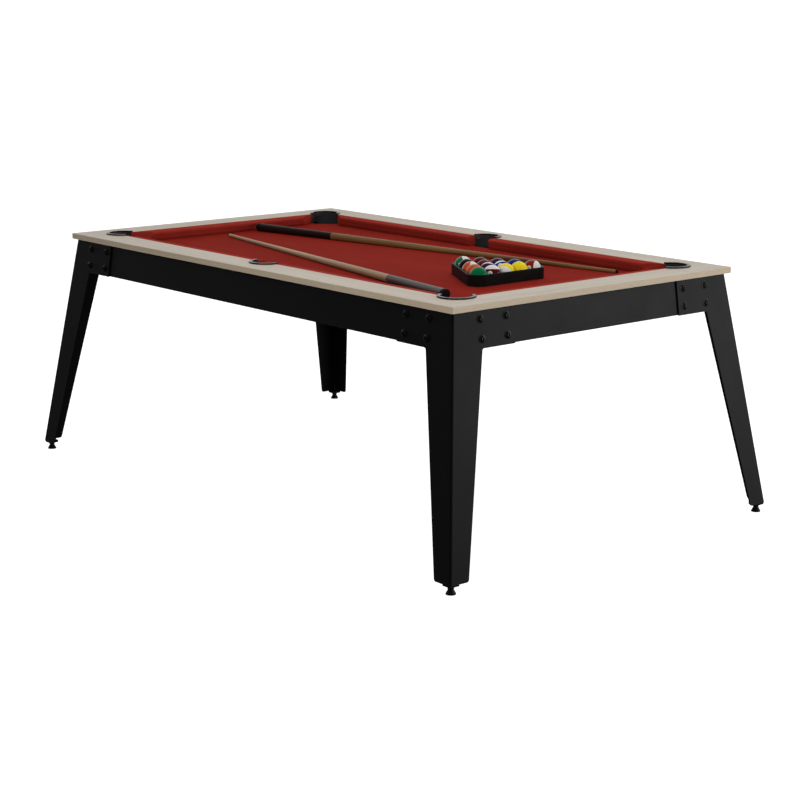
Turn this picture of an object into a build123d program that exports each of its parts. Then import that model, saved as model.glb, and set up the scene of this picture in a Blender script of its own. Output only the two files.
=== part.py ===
"""Pool table on four splayed steel legs, with its rack, fifteen balls and two cues.

Frame: origin on the floor under the middle of the table, +X along the long side, +Z up.
"Front" is the -Y side and "right" is the +X end.
"""

import os
from math import atan2, cos, degrees, radians, sin, sqrt

from build123d import *

os.makedirs("parts", exist_ok=True)

# ---------------------------------------------------------------- driving dimensions, mm
# Playing surface and rails
table_height = 800.0  # floor to the top of the rail boards
field_length = 1770.0  # between the noses of the end cushions
field_width = 885.0  # between the noses of the long cushions
cushion_depth = 37.5  # nose to the rail board
cushion_height = 35.5  # bed cloth to the top of the rail boards
nose_height = 11.0  # upright part of a cushion's nose
cushion_undercut = 12.0  # how far the foot of a cushion stands back from its nose
board_width = 110.0
board_thickness = 19.0
board_corner_radius = 3.0
board_arris = 0.8  # chamfer of the outer top edges
base_strip_width = 46.0  # the hidden wood strip that spaces a board off the slate
slate_thickness = 19.0
cloth_thickness = 1.0
mitre_gap = 0.2  # glue line between two rail boards

# Pockets: a liner cup with a C-shaped rim that is open towards the field
corner_pocket_x = 901.0
corner_pocket_y = 459.0
corner_rim_arc = 230.0
corner_drop_edge = 35.0  # from a pocket's axis to the edge of the bed that faces it
middle_pocket_y = 477.0
middle_rim_arc = 180.0
middle_drop_edge = 21.0
bore_radius = 47.0
cup_wall = 4.0
cup_gap = 2.0  # between a cup and the wood and slate around it
cup_bottom = 685.0
rim_width = 11.0
rim_height = 5.0
corner_mouth_nose = 100.0  # cushion nose to the corner of the field
corner_mouth_throat = 32.0  # cushion back to the corner of the field
middle_mouth_nose = 53.0  # cushion nose to the middle of the long side
middle_mouth_throat = 47.0

# Steel frame: every outer face leans outwards towards the floor
frame_top = table_height - board_thickness
frame_half_length = 1017.0  # at the top of the frame
frame_half_width = 576.4
end_lean = 0.154  # outward run of an end face for each unit of drop
side_lean = 0.141
leg_sheet = 5.0
apron_sheet = 3.0
apron_height = 110.0
apron_top_flange = 40.0
apron_bottom_flange = 30.0
head_reach_long = 226.0  # leg head plate along a long side, from the corner
head_reach_end = 226.4
head_bottom = 670.0
leg_bottom = 30.0
flange_at_head = 115.0  # width of a leg's flange just under its head plate
flange_at_foot = 70.5
leg_bend_radius = 7.0
bolt_columns_long = (819.0, 919.0)
bolt_columns_end = (376.0, 476.0)
bolt_rows = (753.0, 697.0)
bolt_radius = 6.0
bolt_hole_radius = 6.5
beam_positions = (-770.0, -260.0, 260.0, 770.0)
beam_width = 60.0
beam_depth = 40.0
beam_wall = 3.0

# Levelling feet
foot_x = 1112.0
foot_y = 662.0
foot_plate_size = 34.0
foot_plate_bottom = 24.0
foot_plate_thickness = 8.0
stud_radius = 5.0
stud_top = 62.0
thread_clearance = 0.05
pad_radius = 15.0
pad_neck_radius = 9.0
pad_height = 14.0
pad_rim_height = 3.0
pad_socket_floor = 4.0
lock_nut_across_flats = 17.0
lock_nut_height = 8.0

# Playing set
rest_gap = 0.3  # loose pieces stand this far off the cloth
ball_radius = 28.575
ball_pitch = 57.5
rack_x = 555.0  # middle of the racked triangle
rack_y = -4.4
rack_clearance = 0.9
rack_wall = 8.0
rack_height = 36.0
rack_edge_round = 1.5
cue_tip_radius = 5.4
cue_end_radius = 14.75
cue_bumper_length = 14.0
# name: butt end (x, y), tip (x, y), length of the butt
cues = {
    "cue_a": ((752.0, -368.0), (-811.0, -59.0), 350.0),
    "cue_b": ((-868.0, 117.3), (737.0, 383.0), 373.0),
}

# ---------------------------------------------------------------- derived values
table_half_length = field_length / 2 + cushion_depth + board_width
table_half_width = field_width / 2 + cushion_depth + board_width
board_inner_x = field_length / 2 + cushion_depth
board_inner_y = field_width / 2 + cushion_depth
bed_top = table_height - cushion_height
slate_top = bed_top - cloth_thickness
slate_bottom = slate_top - slate_thickness
slate_half_length = board_inner_x + base_strip_width - 2.5
slate_half_width = board_inner_y + base_strip_width
wall_radius = bore_radius + cup_wall
hole_radius = wall_radius + cup_gap
side_slope = sqrt(1 + side_lean**2)  # length along a side face for each unit of drop
end_slope = sqrt(1 + end_lean**2)
corner_signs = [(1, -1), (1, 1), (-1, 1), (-1, -1)]
corner_names = {(1, -1): "front_right", (1, 1): "back_right", (-1, 1): "back_left", (-1, -1): "front_left"}
side_names = {-1: "front", 1: "back"}
end_names = {-1: "left", 1: "right"}
# Each pocket: x, y, angle of its rim, distance to its drop edge, direction away from the field
pockets = [
    (sx * corner_pocket_x, sy * corner_pocket_y, corner_rim_arc, corner_drop_edge, degrees(atan2(sy, sx)))
    for sx, sy in corner_signs
]
pockets += [(0, sy * middle_pocket_y, middle_rim_arc, middle_drop_edge, 90 * sy) for sy in (-1, 1)]
pocket_names = ["corner_" + corner_names[signs] for signs in corner_signs] + ["middle_front", "middle_back"]


def save(builder, name):
    """Label a finished piece and write it to its own file."""
    builder.part.label = name
    export_step(builder.part, "parts/" + name + ".step")


def side_plane(sy):
    """Outer face of a long side: local y runs up the face and local x along it."""
    return Plane(origin=(0, sy * frame_half_width, frame_top), x_dir=(-sy, 0, 0), z_dir=(0, sy, side_lean))


def end_plane(sx):
    """Outer face of a short side: local y runs up the face and local x along it."""
    return Plane(origin=(sx * frame_half_length, 0, frame_top), x_dir=(0, sx, 0), z_dir=(sx, 0, end_lean))


def face_point(across, height, slope):
    """A height above the floor as a place on a leaning face."""
    return (across, (height - frame_top) * slope)


def mitre_plane(sx, sy):
    """The plane that halves the corner between a long and a short side, facing the short side."""
    end_normal = Vector(sx, 0, end_lean).normalized()
    side_normal = Vector(0, sy, side_lean).normalized()
    corner = (sx * frame_half_length, sy * frame_half_width, frame_top)
    return Plane(origin=corner, z_dir=end_normal - side_normal)


def radial_plane(x, y, angle):
    """The upright plane through a pocket's axis, with local x outwards and local y up."""
    turn = radians(angle)
    return Plane(origin=(x, y, 0), x_dir=(cos(turn), sin(turn), 0), z_dir=(sin(turn), -cos(turn), 0))


# ---------------------------------------------------------------- screws shared by several pieces
rail_screw_radius = 2.0
rail_screw_length = 14.0
rail_screw_head_radius = 4.2
rail_screw_head_height = 2.6
rail_screw_inset = leg_sheet + 28.0
pocket_screw_radius = 1.8
pocket_screw_length = 16.0
pocket_screw_head_radius = 3.6
pocket_screw_head_height = 1.6
pocket_screw_level = 789.0
pocket_screw_seat = 0.2  # the flat underside of a head stands this far off the round bore
pocket_screw_angle = 12.0  # back from each end of a rim
hole_clearance = 0.1

rail_screw_x = frame_half_length - rail_screw_inset
rail_screw_y = frame_half_width - rail_screw_inset
rail_screw_places = [(x, sy * rail_screw_y) for x in (-700, -480, -180, 180, 480, 700) for sy in (-1, 1)]
rail_screw_places += [(sx * rail_screw_x, y) for y in (-300, -100, 100, 300) for sx in (-1, 1)]


def pocket_screw_planes():
    """Places of the pocket screws: origin on the bore of a cup, z pointing out into the wood."""
    planes = []
    for x, y, arc, _, middle in pockets:
        for side in (-1, 1):
            turn = radians(middle + side * (arc / 2 - pocket_screw_angle))
            start = (x + bore_radius * cos(turn), y + bore_radius * sin(turn), pocket_screw_level)
            planes.append(Plane(origin=start, x_dir=(0, 0, 1), z_dir=(cos(turn), sin(turn), 0)))
    return planes


def cut_pocket_screw_holes():
    """Drill the pocket screw holes through the piece in hand."""
    for plane in pocket_screw_planes():
        with BuildSketch(plane.offset(-1)) as hole:
            Circle(pocket_screw_radius + hole_clearance)
        extrude(hole.sketch, amount=pocket_screw_length + 1.5, mode=Mode.SUBTRACT)


with BuildPart() as pocket_screws:
    for plane in pocket_screw_planes():
        with BuildSketch(plane.offset(-pocket_screw_seat)):
            Circle(pocket_screw_radius)
        extrude(amount=pocket_screw_length)
        with BuildSketch(plane.offset(-pocket_screw_seat)):
            Circle(pocket_screw_head_radius)
        extrude(amount=-pocket_screw_head_height, taper=25)
save(pocket_screws, "pocket_screws")

flange_underside = frame_top - apron_sheet
with BuildPart() as rail_screws:
    with BuildSketch(Plane.XY.offset(flange_underside)):
        with Locations(*rail_screw_places):
            Circle(rail_screw_radius)
    extrude(amount=rail_screw_length)
    with BuildSketch(Plane.XY.offset(flange_underside)):
        with Locations(*rail_screw_places):
            Circle(rail_screw_head_radius)
    extrude(amount=-rail_screw_head_height, taper=20)
save(rail_screws, "rail_screws")


# ---------------------------------------------------------------- wooden rails
def cut_pocket_holes(gap):
    """Remove the pocket holes from the piece in hand."""
    with BuildSketch(Plane.XY.offset(cup_bottom)) as holes:
        for x, y, _, _, _ in pockets:
            with Locations((x, y)):
                Circle(wall_radius + gap)
    extrude(holes.sketch, amount=2 * (table_height - cup_bottom), mode=Mode.SUBTRACT)


def on_outside(edge):
    """Whether an edge lies on the outline of the whole table top."""
    middle = edge.center()
    return max(abs(middle.X) - table_half_length, abs(middle.Y) - table_half_width) > -board_corner_radius


def rail_board(outline, name):
    """A mitred board with its share of the pocket holes and its screw holes."""
    with BuildPart() as board:
        with BuildSketch(Plane.XY.offset(frame_top)):
            with BuildLine():
                Polyline(*outline, close=True)
            make_face()
        extrude(amount=board_thickness)
        with BuildSketch(Plane.XY.offset(frame_top)):
            RectangleRounded(2 * table_half_length, 2 * table_half_width, board_corner_radius)
        extrude(amount=board_thickness, mode=Mode.INTERSECT)
        top_edges = board.faces().sort_by(Axis.Z)[-1].edges().filter_by(on_outside)
        chamfer(top_edges, length=board_arris)
        cut_pocket_holes(cup_gap)
        with BuildSketch(Plane.XY.offset(frame_top)):
            with Locations(*rail_screw_places):
                Circle(rail_screw_radius + hole_clearance)
        extrude(amount=rail_screw_length - apron_sheet + 1.0, mode=Mode.SUBTRACT)
        cut_pocket_screw_holes()
    save(board, name)


for sy in (-1, 1):
    inner_end = board_inner_x - mitre_gap
    outer_end = table_half_length - mitre_gap
    long_outline = [
        (-outer_end, sy * table_half_width),
        (outer_end, sy * table_half_width),
        (inner_end, sy * board_inner_y),
        (-inner_end, sy * board_inner_y),
    ]
    rail_board(long_outline, "rail_board_" + side_names[sy])

for sx in (-1, 1):
    end_outline = [
        (sx * table_half_length, -table_half_width),
        (sx * table_half_length, table_half_width),
        (sx * board_inner_x, board_inner_y),
        (sx * board_inner_x, -board_inner_y),
    ]
    rail_board(end_outline, "rail_board_" + end_names[sx])

# Hidden strips between the boards and the slate, stopping short of the pockets
strip_middle_end = hole_radius + 6.0
strip_corner_end = 828.0
strip_centre = (strip_middle_end + strip_corner_end) / 2
strip_length = strip_corner_end - strip_middle_end
end_strip_length = 760.0
end_strip_width = slate_half_length - board_inner_x
with BuildPart() as base_strips:
    with BuildSketch(Plane.XY.offset(bed_top)):
        for sx, sy in corner_signs:
            with Locations((sx * strip_centre, sy * (board_inner_y + base_strip_width / 2))):
                Rectangle(strip_length, base_strip_width)
        for sx in (-1, 1):
            with Locations((sx * (board_inner_x + end_strip_width / 2), 0)):
                Rectangle(end_strip_width, end_strip_length)
    extrude(amount=frame_top - bed_top)
save(base_strips, "rail_base_strips")


# ---------------------------------------------------------------- cushions
cushion_clearance = 0.3  # between a cushion's end and the cup beside it
nose_round = 2.5


def cushion(section_plane, plan):
    """One cushion: its section run along the rail and kept inside its outline from above."""
    with BuildPart() as bar:
        with BuildSketch(section_plane):
            with BuildLine():
                Polyline(
                    (0, table_height),
                    (0, table_height - nose_height),
                    (cushion_undercut, bed_top),
                    (cushion_depth, bed_top),
                    (cushion_depth, table_height),
                    close=True,
                )
            make_face()
        extrude(amount=field_length, both=True)
        with BuildSketch(Plane.XY.offset(bed_top)):
            with BuildLine():
                Polyline(*plan, close=True)
            make_face()
        extrude(amount=cushion_height, mode=Mode.INTERSECT)
        long_edges = bar.edges().filter_by(lambda edge: edge.length > 2 * corner_mouth_nose)
        nose_edges = long_edges.filter_by(
            lambda edge: abs(section_plane.to_local_coords(edge.center()).X) < nose_round / 10
        )
        fillet(nose_edges, radius=nose_round)
        cut_pocket_holes(cushion_clearance)
    return bar.part


def long_cushion(sx, sy):
    """The cushion along one half of a long side."""
    nose_line = (0, sy * field_width / 2, 0)
    section_plane = Plane(origin=nose_line, x_dir=(0, sy, 0), z_dir=(sy, 0, 0))
    nose_y = sy * field_width / 2
    plan = [
        (sx * middle_mouth_nose, nose_y),
        (sx * (field_length / 2 - corner_mouth_nose), nose_y),
        (sx * (field_length / 2 - corner_mouth_throat), sy * board_inner_y),
        (sx * middle_mouth_throat, sy * board_inner_y),
    ]
    return cushion(section_plane, plan)


def end_cushion(sx):
    """The cushion along a short side."""
    nose_line = (sx * field_length / 2, 0, 0)
    section_plane = Plane(origin=nose_line, x_dir=(sx, 0, 0), z_dir=(0, -sx, 0))
    nose_x = sx * field_length / 2
    back_x = sx * board_inner_x
    nose_end = field_width / 2 - corner_mouth_nose
    throat_end = field_width / 2 - corner_mouth_throat
    plan = [(nose_x, -nose_end), (nose_x, nose_end), (back_x, throat_end), (back_x, -throat_end)]
    return cushion(section_plane, plan)


long_bars = [long_cushion(sx, sy) for sx, sy in corner_signs]
with BuildPart() as long_cushions:
    add(long_bars)
save(long_cushions, "long_cushions")

end_bars = [end_cushion(sx) for sx in (-1, 1)]
with BuildPart() as end_cushions:
    add(end_bars)
save(end_cushions, "end_cushions")


# ---------------------------------------------------------------- slate and cloth
drop_edge_round = 3.0


def drop_hole(radius, edge_distance):
    """A pocket's hole in the bed: a circle with a straight drop edge on the side of the field."""
    with BuildSketch() as hole:
        Circle(radius)
        with Locations((-edge_distance, 0)):
            Rectangle(2 * radius, 2 * radius, align=(Align.MAX, Align.CENTER), mode=Mode.SUBTRACT)
        fillet(hole.vertices(), radius=drop_edge_round)
    return hole.sketch


def bed_sheet(bottom, thickness, gap, name):
    """A sheet over the whole bed, notched for the pockets."""
    with BuildPart() as sheet:
        with BuildSketch(Plane.XY.offset(bottom)):
            Rectangle(2 * slate_half_length, 2 * slate_half_width)
            for x, y, _, edge_distance, middle in pockets:
                with Locations(Location((x, y, 0), middle)):
                    add(drop_hole(wall_radius + gap, edge_distance), mode=Mode.SUBTRACT)
            for sx, sy in corner_signs:
                notch_x = slate_half_length - corner_pocket_x
                notch_y = slate_half_width - corner_pocket_y
                with Locations((sx * (corner_pocket_x + notch_x), sy * (corner_pocket_y + notch_y))):
                    Rectangle(2 * notch_x, 2 * notch_y, mode=Mode.SUBTRACT)
        extrude(amount=thickness)
    save(sheet, name)


bed_sheet(slate_bottom, slate_thickness, cup_gap, "slate_bed")
bed_sheet(slate_top, cloth_thickness, 0.5, "bed_cloth")


# ---------------------------------------------------------------- pockets
cup_floor = 4.0
cup_round = 3.0
rim_round = 2.0
pot_gap = 0.5  # between the pot and the underside of the slate


def pocket_cup(x, y, arc, middle, name):
    """A liner cup: a closed pot under the bed and a part-round wall above it."""
    start_plane = radial_plane(x, y, middle - arc / 2)
    axis = Axis((x, y, 0), (0, 0, 1))
    pot_top = slate_bottom - pot_gap
    with BuildPart() as cup:
        with BuildSketch(start_plane):
            with BuildLine():
                Polyline(
                    (0, cup_bottom + cup_floor),
                    (0, cup_bottom),
                    (wall_radius - cup_round, cup_bottom),
                    (wall_radius, cup_bottom + cup_round),
                    (wall_radius, pot_top),
                    (bore_radius, pot_top),
                    (bore_radius, cup_bottom + cup_floor),
                    close=True,
                )
            make_face()
        revolve(axis=axis)
        with BuildSketch(start_plane):
            with Locations((bore_radius, pot_top - cup_wall)):
                Rectangle(cup_wall, table_height - pot_top + cup_wall, align=Align.MIN)
        revolve(axis=axis, revolution_arc=arc)
        cut_pocket_screw_holes()
    save(cup, name)


for (x, y, arc, _, middle), name in zip(pockets, pocket_names):
    pocket_cup(x, y, arc, middle, "pocket_cup_" + name)

with BuildPart() as pocket_rims:
    for x, y, arc, _, middle in pockets:
        with BuildSketch(radial_plane(x, y, middle - arc / 2)):
            with Locations((bore_radius + rim_width / 2, table_height + rim_height / 2)):
                Rectangle(rim_width, rim_height)
            fillet(vertices().group_by(Axis.Y)[-1], radius=rim_round)
        revolve(axis=Axis((x, y, 0), (0, 0, 1)), revolution_arc=arc)
save(pocket_rims, "pocket_rims")


# ---------------------------------------------------------------- bolted joints of the frame
bolt_flange_radius = 12.2
bolt_flange_height = 1.4
bolt_dome_radius = 9.8
bolt_head_height = 6.4
bolt_socket_flats = 8.0
bolt_socket_depth = 4.0
bolt_length = 24.0
nut_flange_radius = 13.0
nut_flange_height = 2.0
nut_across_flats = 18.0
nut_height = 12.0


def bolt_planes():
    """Places of the bolts: origin on the outer face of a leg, z pointing out of the table."""
    planes = []
    for sx, sy in corner_signs:
        for row in bolt_rows:
            for column in bolt_columns_long:
                across, up = face_point(-sy * sx * column, row, side_slope)
                face = side_plane(sy)
                planes.append(Plane(face.from_local_coords((across, up, 0)), face.x_dir, face.z_dir))
            for column in bolt_columns_end:
                across, up = face_point(sx * sy * column, row, end_slope)
                face = end_plane(sx)
                planes.append(Plane(face.from_local_coords((across, up, 0)), face.x_dir, face.z_dir))
    return planes


def drill_bolt_holes():
    """Drill the bolt holes through the leaning sheet in hand."""
    for plane in bolt_planes():
        with BuildSketch(plane.offset(1)) as hole:
            Circle(bolt_hole_radius)
        extrude(hole.sketch, amount=-(leg_sheet + apron_sheet + 2), mode=Mode.SUBTRACT)


with BuildPart() as bolt:
    with BuildSketch(Plane.XZ):
        with BuildLine():
            Polyline(
                (0, bolt_head_height),
                (0, -bolt_length),
                (bolt_radius, -bolt_length),
                (bolt_radius, 0),
                (bolt_flange_radius, 0),
                (bolt_flange_radius, bolt_flange_height),
                (bolt_dome_radius, bolt_flange_height + 0.6),
            )
            ThreePointArc(
                (bolt_dome_radius, bolt_flange_height + 0.6),
                (bolt_dome_radius - 2.2, bolt_head_height - 1.4),
                (bolt_dome_radius - 5.0, bolt_head_height),
            )
            Line((bolt_dome_radius - 5.0, bolt_head_height), (0, bolt_head_height))
        make_face()
    revolve(axis=Axis.Z)
    with BuildSketch(Plane.XY.offset(bolt_head_height)):
        RegularPolygon(bolt_socket_flats / 2, 6, major_radius=False)
    extrude(amount=-bolt_socket_depth, mode=Mode.SUBTRACT)

with BuildPart() as nut:
    seat = -(leg_sheet + apron_sheet)
    with BuildSketch(Plane.XY.offset(seat)):
        Circle(nut_flange_radius)
    extrude(amount=-nut_flange_height)
    with BuildSketch(Plane.XY.offset(seat)):
        RegularPolygon(nut_across_flats / 2, 6, major_radius=False)
    extrude(amount=-nut_height)
    with BuildSketch(Plane.XY.offset(seat)):
        Circle(bolt_radius + hole_clearance / 2)
    extrude(amount=-nut_height, mode=Mode.SUBTRACT)

bolt_places = [Location(plane) for plane in bolt_planes()]
with BuildPart() as frame_bolts:
    with Locations(*bolt_places):
        add(bolt.part)
save(frame_bolts, "frame_bolts")

with BuildPart() as frame_nuts:
    with Locations(*bolt_places):
        add(nut.part)
save(frame_nuts, "frame_nuts")


# ---------------------------------------------------------------- legs
head_inner_round = 7.0
foot_round = 9.0
trim_allowance = 8.0  # extra length that is cut off level at the top and the foot
drop_to_foot = frame_top - leg_bottom


def leg_flange(face, half_span, lean, head_reach, slope, mirror_sign):
    """One leg flange with its head plate, as a flat shape on the leaning face it lies in."""
    top = frame_top + trim_allowance
    bottom = leg_bottom - trim_allowance
    taper = (flange_at_head - flange_at_foot) / (head_bottom - leg_bottom)
    under_head = half_span + lean * (frame_top - head_bottom)
    outline = [
        (half_span - head_reach, top),
        (half_span - lean * trim_allowance, top),
        (half_span + lean * (frame_top - bottom), bottom),
        (half_span + lean * (frame_top - bottom) - flange_at_foot + taper * trim_allowance, bottom),
        (under_head - flange_at_head, head_bottom),
        (half_span - head_reach, head_bottom),
    ]
    points = [face_point(mirror_sign * across, height, slope) for across, height in outline]
    with BuildSketch(face) as flange:
        with BuildLine():
            Polyline(*points, close=True)
        make_face()
        inner_corner = flange.vertices().sort_by_distance(Vertex(*points[4], 0))[0]
        fillet(inner_corner, radius=head_inner_round)
    return flange.sketch


for sx, sy in corner_signs:
    long_flange = leg_flange(
        side_plane(sy), frame_half_length, end_lean, head_reach_long, side_slope, -sy * sx
    )
    short_flange = leg_flange(
        end_plane(sx), frame_half_width, side_lean, head_reach_end, end_slope, sx * sy
    )
    with BuildPart() as leg:
        extrude(long_flange, amount=-leg_sheet)
        extrude(short_flange, amount=-leg_sheet)
        split(bisect_by=Plane.XY.offset(frame_top), keep=Keep.BOTTOM)
        split(bisect_by=Plane.XY.offset(leg_bottom), keep=Keep.TOP)
        fold_x = frame_half_length + end_lean * drop_to_foot
        fold_y = frame_half_width + side_lean * drop_to_foot
        fold_middle = Vertex(
            sx * (frame_half_length + fold_x) / 2,
            sy * (frame_half_width + fold_y) / 2,
            (frame_top + leg_bottom) / 2,
        )
        foot_corners = [
            Vertex(sx * (fold_x - flange_at_foot), sy * fold_y, leg_bottom),
            Vertex(sx * fold_x, sy * (fold_y - flange_at_foot), leg_bottom),
        ]
        fillet(leg.edges().sort_by_distance(fold_middle)[0], radius=leg_bend_radius)
        for corner in foot_corners:
            short_edges = leg.edges().filter_by(lambda edge: edge.length < 1.2 * leg_sheet)
            fillet(short_edges.sort_by_distance(corner)[0], radius=foot_round)
        with BuildSketch(Plane.XY.offset(foot_plate_bottom)):
            with Locations((sx * foot_x, sy * foot_y)):
                Rectangle(foot_plate_size, foot_plate_size)
        extrude(amount=foot_plate_thickness)
        with BuildSketch(Plane.XY.offset(foot_plate_bottom)):
            with Locations((sx * foot_x, sy * foot_y)):
                Circle(stud_radius + thread_clearance)
        extrude(amount=foot_plate_thickness, mode=Mode.SUBTRACT)
        drill_bolt_holes()
    save(leg, "leg_" + corner_names[(sx, sy)])


# ---------------------------------------------------------------- aprons and cross beams
apron_bottom = frame_top - apron_height
apron_bend = 2.0
mitre_allowance = 50.0  # extra length that the mitre cuts take off


def apron_profile(section_plane, half_span, lean, slope):
    """Section of an apron: local x outwards from the middle of the table, local y up."""
    web = leg_sheet * slope
    sheet = apron_sheet * slope

    def face(height):
        return half_span + lean * (frame_top - height)

    top_bend = frame_top - apron_sheet
    bottom_bend = apron_bottom + apron_sheet
    outline = [
        (face(frame_top) - web, frame_top),
        (face(frame_top) - web - apron_top_flange, frame_top),
        (face(frame_top) - web - apron_top_flange, top_bend),
        (face(top_bend) - web - sheet, top_bend),
        (face(bottom_bend) - web - sheet, bottom_bend),
        (face(bottom_bend) - web - sheet - apron_bottom_flange, bottom_bend),
        (face(bottom_bend) - web - sheet - apron_bottom_flange, apron_bottom),
        (face(apron_bottom) - web, apron_bottom),
    ]
    with BuildSketch(section_plane) as section:
        with BuildLine():
            Polyline(*outline, close=True)
        make_face()
        outer_bend = section.vertices().sort_by_distance(Vertex(*outline[-1], 0))[0]
        fillet(outer_bend, radius=apron_bend)
    return section.sketch


def drill_rail_screw_holes():
    """Drill the top flange in hand for the rail screws."""
    with BuildSketch(Plane.XY.offset(flange_underside)) as holes:
        with Locations(*rail_screw_places):
            Circle(rail_screw_radius + hole_clearance)
    extrude(holes.sketch, amount=apron_sheet, mode=Mode.SUBTRACT)


for sy in (-1, 1):
    section_plane = Plane(origin=(0, 0, 0), x_dir=(0, sy, 0), z_dir=(sy, 0, 0))
    profile = apron_profile(section_plane, frame_half_width, side_lean, side_slope)
    with BuildPart() as apron:
        extrude(profile, amount=frame_half_length + mitre_allowance, both=True)
        for sx in (-1, 1):
            split(bisect_by=mitre_plane(sx, sy), keep=Keep.BOTTOM)
        drill_rail_screw_holes()
        drill_bolt_holes()
    save(apron, "apron_" + side_names[sy])

for sx in (-1, 1):
    section_plane = Plane(origin=(0, 0, 0), x_dir=(sx, 0, 0), z_dir=(0, -sx, 0))
    profile = apron_profile(section_plane, frame_half_length, end_lean, end_slope)
    with BuildPart() as apron:
        extrude(profile, amount=frame_half_width + mitre_allowance, both=True)
        for sy in (-1, 1):
            split(bisect_by=mitre_plane(sx, sy), keep=Keep.TOP)
        drill_rail_screw_holes()
        drill_bolt_holes()
    save(apron, "apron_" + end_names[sx])

beam_middle_height = slate_bottom - beam_depth / 2
beam_bottom = slate_bottom - beam_depth
with BuildPart() as cross_beams:
    with BuildSketch(Plane.XZ):
        with Locations(*[(x, beam_middle_height) for x in beam_positions]):
            Rectangle(beam_width, beam_depth)
            Rectangle(beam_width - 2 * beam_wall, beam_depth - 2 * beam_wall, mode=Mode.SUBTRACT)
    extrude(amount=frame_half_width + 30, both=True)
    for sy in (-1, 1):
        split(bisect_by=side_plane(sy).offset(-leg_sheet - apron_sheet), keep=Keep.BOTTOM)
save(cross_beams, "cross_beams")


# ---------------------------------------------------------------- levelling feet
lock_nut_gap = 0.1
with BuildPart() as lock_nuts:
    with BuildSketch(Plane.XY.offset(foot_plate_bottom - lock_nut_height)):
        with Locations(*[(sx * foot_x, sy * foot_y) for sx, sy in corner_signs]):
            RegularPolygon(lock_nut_across_flats / 2, 6, major_radius=False)
            Circle(stud_radius + thread_clearance, mode=Mode.SUBTRACT)
    extrude(amount=lock_nut_height)
save(lock_nuts, "foot_lock_nuts")

stud_end_gap = 0.3
for sx, sy in corner_signs:
    foot_axis = Axis((sx * foot_x, sy * foot_y, 0), (0, 0, 1))
    foot_plane = radial_plane(sx * foot_x, sy * foot_y, 0)
    with BuildPart() as pad:
        with BuildSketch(foot_plane):
            with BuildLine():
                Polyline(
                    (0, 0),
                    (pad_radius, 0),
                    (pad_radius, pad_rim_height),
                    (pad_neck_radius, pad_height),
                    (stud_radius + thread_clearance, pad_height),
                    (stud_radius + thread_clearance, pad_socket_floor),
                    (0, pad_socket_floor),
                    close=True,
                )
            make_face()
        revolve(axis=foot_axis)
    save(pad, "foot_pad_" + corner_names[(sx, sy)])

    with BuildPart() as stud:
        with BuildSketch(Plane.XY.offset(pad_socket_floor + stud_end_gap)):
            with Locations((sx * foot_x, sy * foot_y)):
                Circle(stud_radius)
        extrude(amount=stud_top - pad_socket_floor - stud_end_gap)
        chamfer(stud.faces().sort_by(Axis.Z)[-1].edges(), length=1.0)
    save(stud, "foot_stud_" + corner_names[(sx, sy)])


# ---------------------------------------------------------------- rack and balls
# Ball numbers row by row from the apex, each row from the back of the table to the front
racked_balls = [[14], [7, 8], [4, 3, 13], [2, 10, 12, 5], [11, 1, 9, 15, 6]]
row_step = ball_pitch * sqrt(3) / 2
middle_row = (len(racked_balls) - 1) * 2 / 3
ball_level = bed_top + rest_gap + ball_radius


def ball_place(row, index):
    """Middle of a racked ball, seen from above."""
    return (rack_x + (row - middle_row) * row_step, rack_y + (row / 2 - index) * ball_pitch)


for row, numbers in enumerate(racked_balls):
    for index, number in enumerate(numbers):
        x, y = ball_place(row, index)
        with BuildPart() as ball:
            with Locations((x, y, ball_level)):
                Sphere(ball_radius)
        save(ball, "ball_%02d" % number)

last_row = len(racked_balls) - 1
rack_corners = [ball_place(0, 0), ball_place(last_row, 0), ball_place(last_row, last_row)]
rack_inner = ball_radius + rack_clearance
with BuildPart() as rack:
    with BuildSketch(Plane.XY.offset(bed_top + rest_gap)):
        with Locations(*rack_corners):
            Circle(rack_inner + rack_wall)
        make_hull()
    extrude(amount=rack_height)
    with BuildSketch(Plane.XY.offset(bed_top + rest_gap)):
        with Locations(*rack_corners):
            Circle(rack_inner)
        make_hull()
    extrude(amount=rack_height, mode=Mode.SUBTRACT)
    top_face = rack.faces().sort_by(Axis.Z)[-1]
    chamfer(top_face.inner_wires()[0].edges(), length=1.5)
    top_face = rack.faces().sort_by(Axis.Z)[-1]
    fillet(top_face.outer_wire().edges(), radius=rack_edge_round)
save(rack, "ball_rack")


# ---------------------------------------------------------------- cues
def cue_piece(cue, start, end, name):
    """One turned piece of a cue between two distances from its butt end."""
    (butt_x, butt_y), (tip_x, tip_y), _ = cue
    butt_end = Vector(butt_x, butt_y, bed_top + rest_gap + cue_end_radius)
    tip_end = Vector(tip_x, tip_y, bed_top + rest_gap + cue_tip_radius)
    length = (tip_end - butt_end).length
    taper = (cue_tip_radius - cue_end_radius) / length
    axis_plane = Plane(origin=butt_end, z_dir=tip_end - butt_end)
    end = min(end, length)
    with BuildPart(axis_plane.offset(start)) as piece:
        Cone(
            cue_end_radius + taper * start,
            cue_end_radius + taper * end,
            end - start,
            align=(Align.CENTER, Align.CENTER, Align.MIN),
        )
    save(piece, name)


for name, cue in cues.items():
    butt_length = cue[2]
    cue_piece(cue, 0, cue_bumper_length, name + "_bumper")
    cue_piece(cue, cue_bumper_length, butt_length, name + "_butt")
    cue_piece(cue, butt_length, 10 * butt_length, name + "_shaft")
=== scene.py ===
"""Looks of the pool table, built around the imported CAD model. Metres, row frame, +Z up."""

from math import asin, cos, degrees, pi, radians, sin, sqrt

import bmesh
import bpy
from mathutils import Euler, Matrix, Vector


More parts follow.
